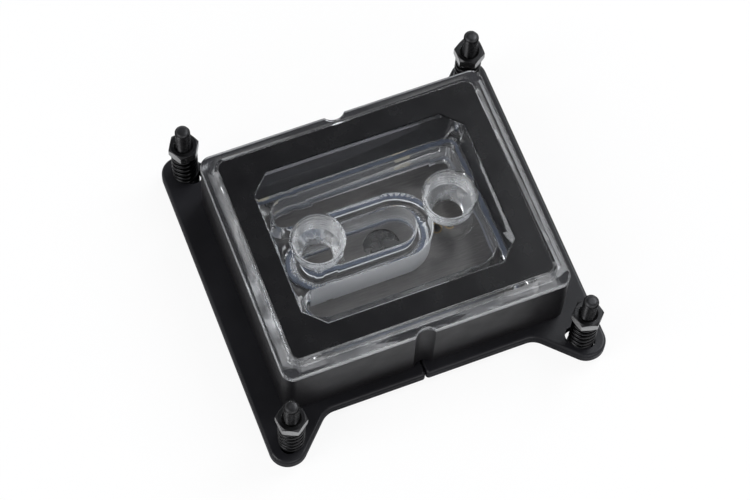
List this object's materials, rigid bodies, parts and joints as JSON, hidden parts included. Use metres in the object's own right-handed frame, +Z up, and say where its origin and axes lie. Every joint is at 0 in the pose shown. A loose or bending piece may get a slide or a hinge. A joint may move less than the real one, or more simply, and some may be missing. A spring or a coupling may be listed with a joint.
{
  "type": "cpu water block",
  "caption": "Square liquid-cooling block with a clear cover, black trim and housing, threaded ports and a sprung bolt in each ear of its two-part bracket.",
  "frame": {"origin": "centre of the flat contact face under the cold plate", "axes": "+Z up through the clear cover, +X from the inlet port to the outlet port, +Y to the back"},
  "size_m": [0.09, 0.089, 0.0295],
  "materials": {
    "clear_acrylic": "polished clear acrylic, frosted in the threads and milled walls",
    "black_trim": "satin black",
    "black_housing": "fine-grained black moulding",
    "black_bracket": "satin black powder coat",
    "black_bolt": "blackened steel",
    "black_nut": "blackened steel, brighter on its edges",
    "spring_steel": "blackened spring wire",
    "nickel_plate": "nickel plate over copper, fine machining marks",
    "jet_steel": "brushed sheet",
    "gasket_rubber": "black rubber sheet",
    "seal_rubber": "blue-grey rubber",
    "board_white": "white solder mask",
    "led_yellow": "yellow phosphor in a pale package",
    "screw_steel": "plain steel"
  },
  "bodies": {
    "block": {"cold_plate": "nickel_plate", "jet_plate": "jet_steel", "outer_gasket": "gasket_rubber", "outer_seal": "seal_rubber", "inlet_seal": "seal_rubber", "clear_cover": "clear_acrylic", "trim_frame": "black_trim", "housing": "black_housing", "led_board": "board_white", "leds": "led_yellow", "bracket_left": "black_bracket", "bracket_right": "black_bracket", "bracket_screws": "screw_steel", "cover_screws": "screw_steel", "spring_front_left": "spring_steel", "spring_front_right": "spring_steel", "spring_back_left": "spring_steel", "spring_back_right": "spring_steel"},
    "sprung_bolt_front_left": {"bolt_front_left": "black_bolt", "nut_front_left": "black_nut"},
    "sprung_bolt_front_right": {"bolt_front_right": "black_bolt", "nut_front_right": "black_nut"},
    "sprung_bolt_back_left": {"bolt_back_left": "black_bolt", "nut_back_left": "black_nut"},
    "sprung_bolt_back_right": {"bolt_back_right": "black_bolt", "nut_back_right": "black_nut"}
  },
  "joints": [
    {"name": "press_front_left", "type": "slide", "parent": "block", "child": "sprung_bolt_front_left", "axis": [0, 0, 1], "range_m": [-0.003, 0], "stiffness_N_per_m": 3000, "springref_m": 0.002, "deforming": ["spring_front_left"]},
    {"name": "press_front_right", "type": "slide", "parent": "block", "child": "sprung_bolt_front_right", "axis": [0, 0, 1], "range_m": [-0.003, 0], "stiffness_N_per_m": 3000, "springref_m": 0.002, "deforming": ["spring_front_right"]},
    {"name": "press_back_left", "type": "slide", "parent": "block", "child": "sprung_bolt_back_left", "axis": [0, 0, 1], "range_m": [-0.003, 0], "stiffness_N_per_m": 3000, "springref_m": 0.002, "deforming": ["spring_back_left"]},
    {"name": "press_back_right", "type": "slide", "parent": "block", "child": "sprung_bolt_back_right", "axis": [0, 0, 1], "range_m": [-0.003, 0], "stiffness_N_per_m": 3000, "springref_m": 0.002, "deforming": ["spring_back_right"]}
  ]
}
